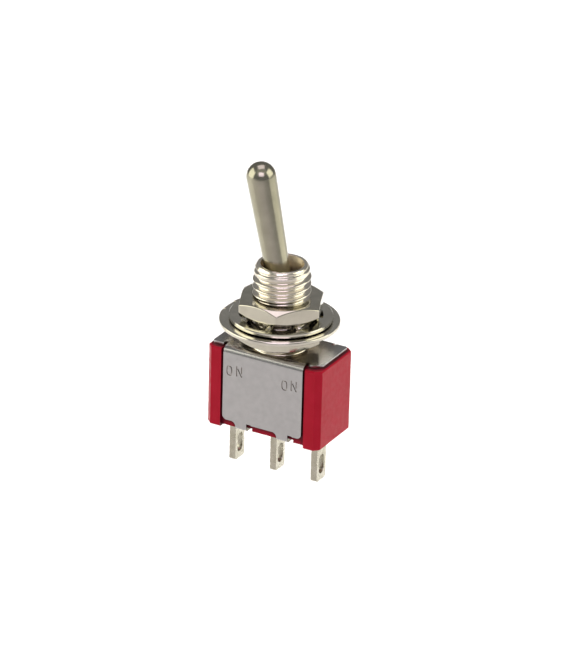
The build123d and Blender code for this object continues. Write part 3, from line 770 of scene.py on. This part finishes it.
def add_floor():
    """A wide pale floor, which the floor lights whiten."""
    half = FLOOR_HALF * MM
    mesh = bpy.data.meshes.new("floor")
    mesh.from_pydata([(-half, -half, 0), (half, -half, 0), (half, half, 0), (-half, half, 0)],
                     [], [(0, 1, 2, 3)])
    floor = linked_object("floor", mesh)
    floor.location.z = FLOOR_Z * MM
    paint(floor, floor_paint(FLOOR_ALBEDO))


add_floor()

# ---- the camera --------------------------------------------------------------------------
# Angles in degrees; OFF_RIGHT and OFF_UP say where the origin lies from the view's middle
AZIMUTH, ELEVATION, ROLL = 28.67, 24.81, 1.556
DISTANCE, OFF_RIGHT, OFF_UP = 403.3, -0.364, -1.872
LENS, SENSOR = 224.70, 36
NEAREST, FARTHEST = 10, 20000

az, el, roll = (math.radians(v) for v in (AZIMUTH, ELEVATION, ROLL))
back = Vector((math.sin(az) * math.cos(el), -math.cos(az) * math.cos(el), math.sin(el)))
level = Vector((math.cos(az), math.sin(az), 0))
away = Vector((-back.x, -back.y, 0)).normalized()
view_right = math.cos(roll) * level + math.sin(roll) * back.cross(level)
view_up = back.cross(view_right)


def add_camera():
    data = bpy.data.cameras.new("camera")
    data.lens = LENS
    data.sensor_width = SENSOR
    data.clip_start, data.clip_end = NEAREST * MM, FARTHEST * MM
    camera = linked_object("camera", data)
    place = (back * DISTANCE - view_right * OFF_RIGHT - view_up * OFF_UP) * MM
    turn = Matrix((view_right, view_up, back)).transposed().to_4x4()
    camera.matrix_world = Matrix.Translation(place) @ turn
    bpy.context.scene.camera = camera


add_camera()

# ---- the light ---------------------------------------------------------------------------
WARM = (1.0, 0.96, 0.80)
PINK = (0.95, 0.79, 1.0)
PALE_PINK = (1.0, 0.86, 0.97)
PALE_WARM = (1.0, 0.98, 0.88)
WHITE = (1.0, 1.0, 1.0)
# The floor's lights stand this far above the switch's origin and spread this little, in degrees
FLOOR_LIGHT_Z = 12
FLOOR_LIGHT_SPREAD = 60


def area_light(name, size_mm, radiance, colour):
    """A rectangular panel of the given radiance, still to be placed."""
    data = bpy.data.lights.new(name, "AREA")
    data.shape = "RECTANGLE"
    data.size, data.size_y = size_mm[0] * MM, size_mm[1] * MM
    data.energy = radiance * math.pi * data.size * data.size_y
    data.color = colour
    return linked_object(name, data)


def soft_box(name, place_mm, size_mm, radiance, colour):
    """A panel that faces the origin, placed in the view's axes: right, up, to the camera."""
    light = area_light(name, size_mm, radiance, colour)
    x, y, z = place_mm
    light.location = (view_right * x + view_up * y + back * z) * MM
    light.rotation_euler = light.location.to_track_quat("Z", "Y").to_euler()


def standing_card(name, across_mm, away_mm, z_mm, size_mm, radiance, colour):
    """An upright card beside the object, facing it: what the leaning lever reflects."""
    light = area_light(name, size_mm, radiance, colour)
    light.location = (level * across_mm + away * away_mm + Vector((0, 0, z_mm))) * MM
    side = level if across_mm > 0 else -level
    light.rotation_euler = side.to_track_quat("Z", "Y").to_euler()


def floor_light(name, across_mm, away_mm, size_mm, lift, colour):
    """A panel facing down whose narrow spread lights the floor and nothing else."""
    light = area_light(name, size_mm, lift / FLOOR_ALBEDO, colour)
    light.data.spread = math.radians(FLOOR_LIGHT_SPREAD)
    light.location = (level * across_mm + away * away_mm + Vector((0, 0, FLOOR_LIGHT_Z))) * MM
    light.rotation_euler = (0, 0, math.atan2(away.y, away.x) - math.pi / 2)


soft_box("left_box", (-362, 118, 48), (400, 330), 1.85, WARM)
soft_box("right_box", (340, 136, 107), (320, 290), 1.72, WARM)
soft_box("front_lamp", (0, 92, 397), (270, 200), 2.3, PINK)
soft_box("front_fill", (0, 250, 420), (620, 400), 0.22, WARM)
soft_box("top_box", (0, 384, 112), (280, 260), 1.35, PALE_PINK)
standing_card("right_card", 132, 10, -14, (170, 56), 0.62, WARM)
floor_light("floor_back", 0, 156, (150, 292), 0.72, WHITE)
floor_light("floor_left", -165, 140, (190, 336), 0.37, PALE_WARM)
floor_light("floor_right", 165, 140, (190, 320), 0.36, PALE_WARM)

world = bpy.data.worlds.new("world")
bpy.context.scene.world = world
world.use_nodes = True
background = world.node_tree.nodes["Background"]
background.inputs["Color"].default_value = (0.98, 0.96, 0.95, 1.0)
background.inputs["Strength"].default_value = 0.24

bpy.context.scene.view_settings.view_transform = "Standard"
